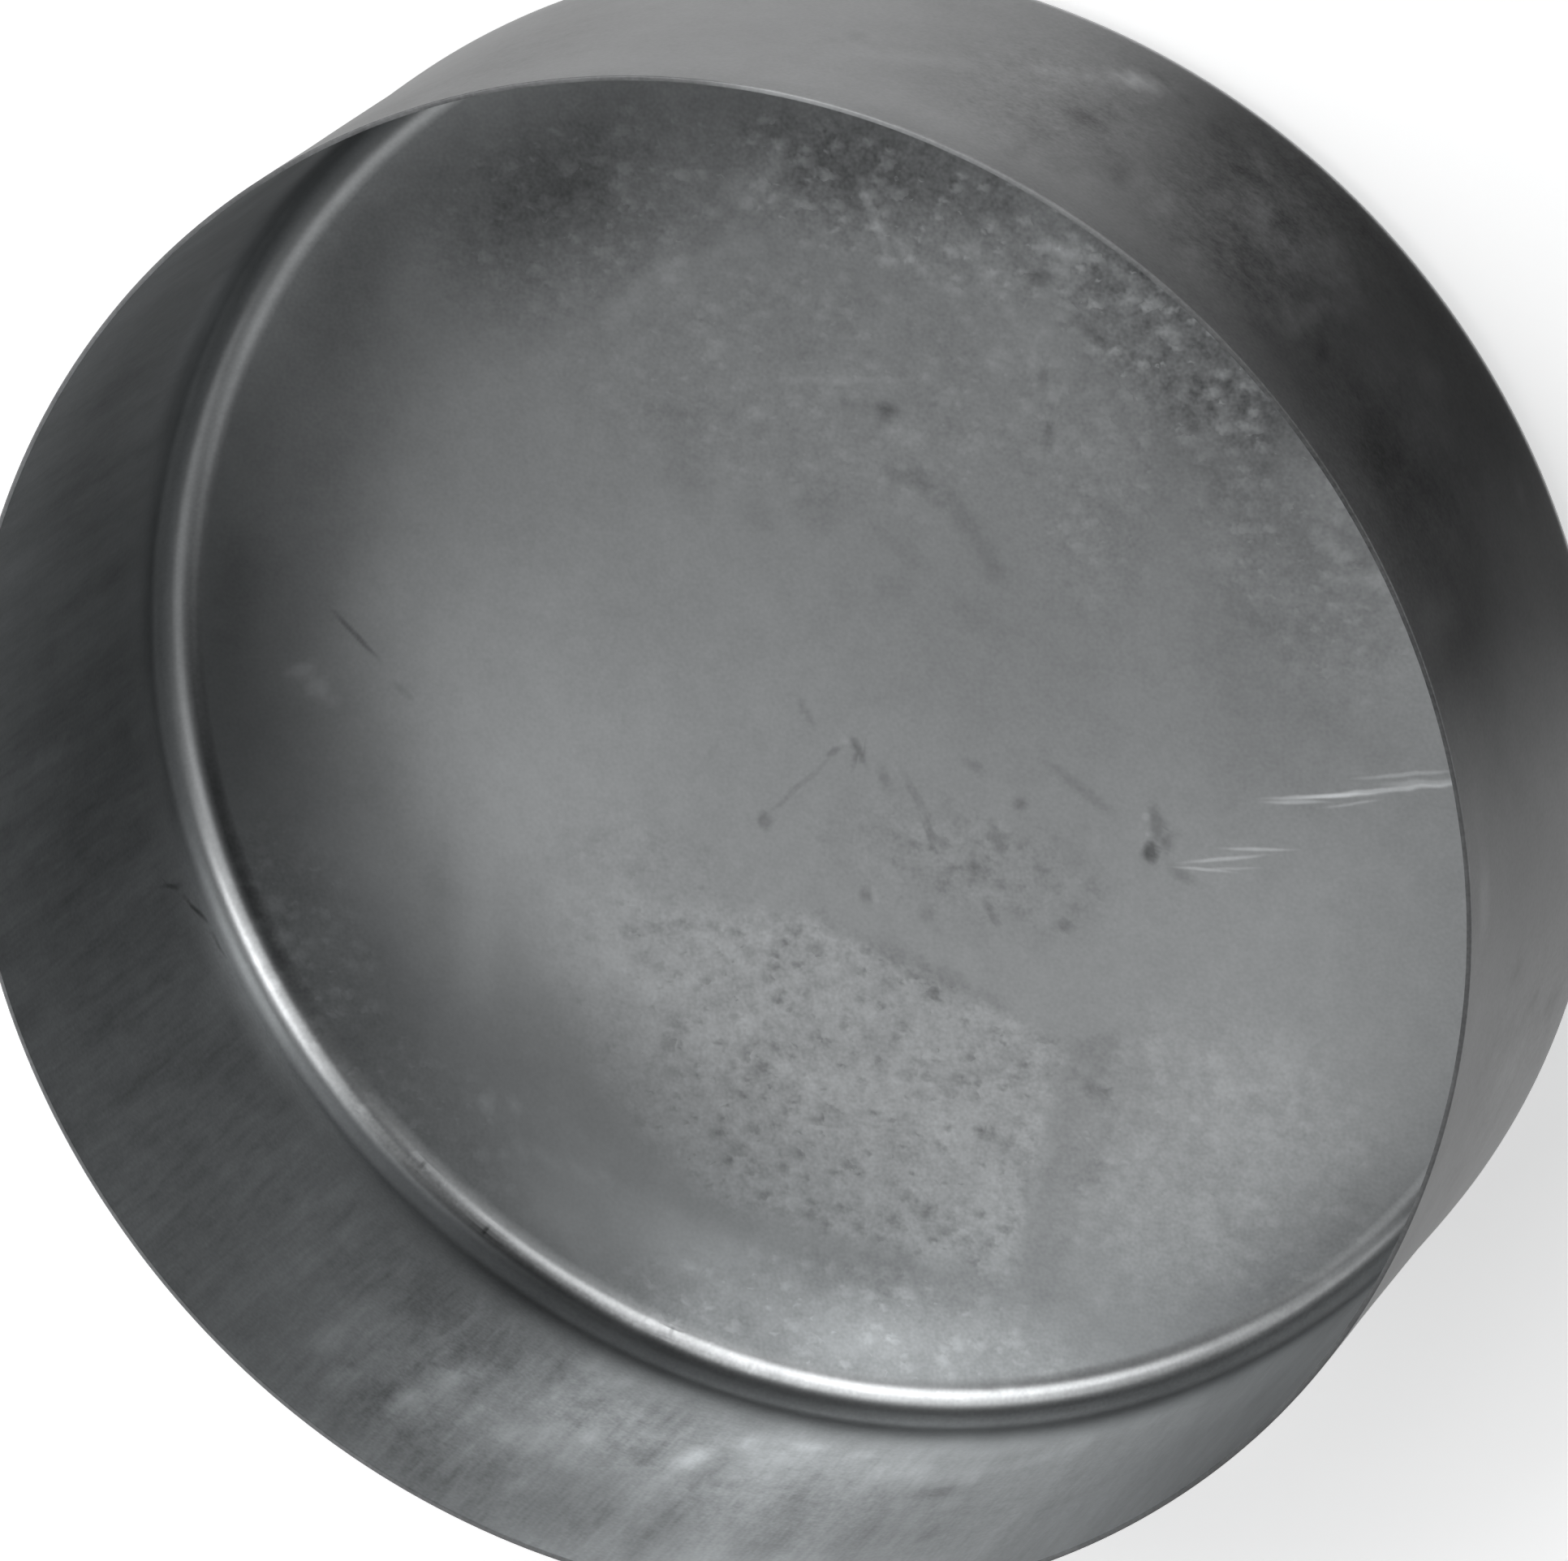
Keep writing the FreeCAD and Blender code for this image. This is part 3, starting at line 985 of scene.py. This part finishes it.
def wall_skin_and_painted_light(out, angles, z, wander):
    """Tone and frosting of the wall, laid out on the wall unrolled. Its broad tones are painted light and
    shade.
    """
    tone, frosted = np.zeros(len(z)), np.zeros(len(z))
    ragged_z = z + WALL_WANDER * wander[:, 1]
    # Rubs, and broad patches of painted light and shade
    for angle, level, half_wide, half_high, lean, outside, change in WALL_MARKS_AND_PAINTED_LIGHT:
        here = ((out > WALL_MIDDLE) == outside) & (z > WALL_FOOT)
        across = round_axis(angles, angle, WALL_RADIUS / MM) + WALL_WANDER * wander[:, 2]
        tone += change * here * patch(across, ragged_z, 0, level, half_wide, half_high, lean, fade=0.9)
    for angle, level, half_wide, half_high, lean, outside, share in WALL_SMEARS:
        here = ((out > WALL_MIDDLE) == outside) & (z > WALL_FOOT)
        across = round_axis(angles, angle, WALL_RADIUS / MM)
        smear = patch(across, z, 0, level, half_wide, half_high, lean, fade=0.9)
        frosted = np.maximum(frosted, share * here * smear)
    return tone, frosted


def bend_painted_light_and_ticks(out, angles, z):
    """Painted highlight and shade on the inside of the bend, and the ticks across it."""
    stops, *bands = np.array(BEND_PAINTED_LIGHT).T
    turns = np.mod(np.degrees(angles), 360)
    near_flat, halfway, near_wall = (np.interp(turns, stops, band) for band in bands)
    tone = near_flat + eased(z, *HALFWAY_SETS_IN) * (halfway - near_flat)
    tone += eased(z, *NEAR_WALL_SETS_IN) * (near_wall - tone)
    tone *= eased(out, *BEND_PAINTED_LIGHT_START) * (1 - eased(z, *BEND_PAINTED_LIGHT_END))
    tone *= (z > 0.8 * INNER_FACE) & (out < WALL_MIDDLE)
    for angle, level, _ in BEND_TICKS:
        tick = patch(round_axis(angles, angle, level), out, 0, level, *TICK_HALF_SIZES, 0, fade=0.8)
        tone += TICK_TONE * tick * ((z > INNER_FACE) & (z < OUTER_BEND / MM))
    return tone


def lay_skin_and_painted_light(cap):
    """Stores on the cap's own points its tone, with its painted light and shade, speckled stain, frosting
    and draw lines.
    """
    points = np.array([v.co for v in cap.data.vertices]) / MM
    noise.seed_set(WANDER_SEED)
    wander = np.array([noise.noise_vector(Vector(p) / WANDER_SIZE) for p in points])
    x, y, z = points.T
    out, angles = np.hypot(x, y), np.arctan2(y, x)

    tone, speckled, frosted = closed_end_skin_and_painted_light(x, y, z, wander)
    wall_tone, wall_frosted = wall_skin_and_painted_light(out, angles, z, wander)
    on_cut_edge = (z > CUT_EDGE) | ((z > ROLLED_CORNER) & (out > WALL_MIDDLE))
    # The cut edge takes its own tone: bare steel, with painted shade and highlight round the rim
    cut_edge_steel_and_painted_light = np.interp(np.degrees(angles), *zip(*RIM_STEEL_AND_PAINTED_LIGHT))
    tone = np.where(on_cut_edge, cut_edge_steel_and_painted_light, tone + wall_tone) + bend_painted_light_and_ticks(out, angles, z)
    drawn = eased(z, *DRAW_LINES_SET_IN) * (out < WALL_MIDDLE)

    skin_and_painted_light = cap.data.attributes.new("skin_and_painted_light", "FLOAT_COLOR", "POINT")
    spread = np.stack([tone, speckled, np.maximum(frosted, wall_frosted), drawn], 1)
    skin_and_painted_light.data.foreach_set("color", spread.astype(np.float32).ravel())


def layered(tree, start, layers):
    """A value that starts at start, with each layer added by its weight."""
    total = start
    for layer, weight in layers:
        total = calculate(tree, "MULTIPLY_ADD", layer, weight, total)
    return total


def cloudiness(tree, millimetres, feature, detail, crispness=0.5, stretch=None):
    """Uneven tone with features of that size in millimetres, from about -0.5 to 0.5."""
    if stretch:
        millimetres = add_node(tree, "ShaderNodeMapping",
                               inputs={"Vector": millimetres, "Scale": stretch}).outputs["Vector"]
    field = add_node(tree, "ShaderNodeTexNoise", inputs={
        "Vector": millimetres, "Scale": 1 / feature, "Detail": detail, "Roughness": crispness})
    return calculate(tree, "SUBTRACT", field.outputs["Fac"], 0.5)


def spotted(tree, millimetres, drift):
    """Ragged spots of many sizes, 1 in the middle of each and 0 between them."""
    strayed = add_node(tree, "ShaderNodeVectorMath", {"operation": "MULTIPLY_ADD"},
                       {0: drift.outputs["Color"], 1: SPOT_STRAY, 2: millimetres})
    slanted = add_node(tree, "ShaderNodeMapping", inputs={
        "Vector": strayed.outputs["Vector"], "Rotation": (0, 0, math.radians(SPOT_SLANT)),
        "Scale": SPOT_STRETCH})
    cells = add_node(tree, "ShaderNodeTexVoronoi", {"voronoi_dimensions": "2D"}, {
        "Vector": slanted.outputs["Vector"], "Scale": 1 / SPOT_SPACING, "Randomness": 1.0})
    chosen = add_node(tree, "ShaderNodeSeparateColor", inputs={"Color": cells.outputs["Color"]})
    reach = add_node(tree, "ShaderNodeMapRange", inputs={
        "Value": chosen.outputs["Red"], "From Min": SPOTS_LEFT_OUT, "From Max": 1.0,
        "To Min": SPOT_REACHES[0], "To Max": SPOT_REACHES[1]})
    return add_node(tree, "ShaderNodeMapRange", {"interpolation_type": "SMOOTHSTEP"}, {
        "Value": cells.outputs["Distance"], "From Min": 0.0, "From Max": reach.outputs["Result"],
        "To Min": 1.0, "To Max": 0.0}).outputs["Result"]


def galvanised_sheet_steel():
    """The zinc skin of the cap, from its closed end round the bend and up the wall, with painted light and
    shade in its tone.
    """
    material, tree = empty_material("galvanised_sheet_steel")
    place = add_node(tree, "ShaderNodeTexCoord").outputs["Object"]
    millimetres = add_node(tree, "ShaderNodeVectorMath", {"operation": "SCALE"},
                           {0: place, "Scale": 1 / MM}).outputs["Vector"]
    stored = add_node(tree, "ShaderNodeAttribute", {"attribute_name": "skin_and_painted_light"})
    skin_and_painted_light = add_node(tree, "ShaderNodeSeparateColor", inputs={"Color": stored.outputs["Color"]})
    # Red is the stored tone: rubs, scratches and stains, and the painted light and shade of the closed
    # end, the bend, the wall and the cut edge
    marks, speckled, frosted = (skin_and_painted_light.outputs[n] for n in ("Red", "Green", "Blue"))
    drawn = stored.outputs["Alpha"]

    # Where the bend, the wall, the inside, the cut edge and the far side are
    along = add_node(tree, "ShaderNodeSeparateXYZ", inputs={"Vector": millimetres}).outputs
    across = add_node(tree, "ShaderNodeCombineXYZ", inputs={"X": along["X"], "Y": along["Y"]})
    radius = length_of(tree, across.outputs["Vector"])
    bent = between(tree, radius, *BEND_SETS_IN)
    upright = between(tree, along["Z"], *WALL_SETS_IN)
    inside = between(tree, radius, WALL_MIDDLE + 0.05, WALL_MIDDLE - 0.05, "LINEAR")
    cut_edge = between(tree, along["Z"], *CUT_EDGE_SETS_IN, "LINEAR")
    far_side = between(tree, along["Y"], *FAR_SIDE_SETS_IN)

    # The bloom, from broad clouds to the grain of the zinc, the draw lines and the spots
    clouds = cloudiness(tree, millimetres, CLOUD_SIZE, 1.0)
    mottle = cloudiness(tree, millimetres, MOTTLE_SIZE, 4.0, 0.85)
    grain = cloudiness(tree, millimetres, GRAIN_SIZE, 0.0)
    lines = cloudiness(tree, millimetres, DRAW_LINE_SIZE, 4.0, 0.85, DRAW_LINE_STRETCH)
    lines = calculate(tree, "MULTIPLY", lines, drawn)
    drift = add_node(tree, "ShaderNodeTexNoise", inputs={
        "Vector": millimetres, "Scale": 1 / GRIT_SIZE, "Detail": 2.0, "Roughness": 0.75})
    grit = calculate(tree, "SUBTRACT", drift.outputs["Fac"], 0.5)
    level = calculate(tree, "SUBTRACT", 1.0, upright)
    spots = calculate(tree, "MULTIPLY", spotted(tree, millimetres, drift), level)

    tone = layered(tree, 1.0, [(marks, 1.0), (clouds, 0.14), (mottle, 0.30), (grain, 0.16), (lines, 0.85)])
    stain = layered(tree, 0.0, [(mottle, 0.80), (grit, 0.60), (spots, -0.30)])
    frosting = layered(tree, -0.04, [(mottle, 0.70), (grit, 0.80), (spots, 0.55), (lines, 0.60)])
    tone = layered(tree, tone, [(stain, speckled), (frosting, frosted)])
    skin = mixed(tree, "RGBA", inside, colour(ZINC), colour(ZINC_COOL))
    shade = add_node(tree, "ShaderNodeVectorMath", {"operation": "SCALE"}, {0: skin, "Scale": tone})

    # Ironed zinc is smoother than the bloom on the flat
    ironed = mixed(tree, "FLOAT", far_side, BEND_ROUGHNESS, FAR_BEND_ROUGHNESS)
    roughness = mixed(tree, "FLOAT", bent, FLAT_ROUGHNESS, ironed)
    roughness = mixed(tree, "FLOAT", upright, roughness, WALL_ROUGHNESS)
    roughness = layered(tree, roughness, [(clouds, 0.08), (speckled, 0.03), (cut_edge, 0.20)])

    show_surface(tree, add_node(tree, "ShaderNodeBsdfPrincipled", inputs={
        "Metallic": 1.0, "Base Color": shade.outputs["Vector"], "Roughness": roughness}))
    return material


photograph_camera()
studio_light()
studio_floor()
floor_card()

cap = drawn_cup()
lay_skin_and_painted_light(cap)
cap.data.materials.append(galvanised_sheet_steel())
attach(cap, "root")
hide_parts("end_cap")

bpy.context.scene.view_settings.view_transform = "Standard"
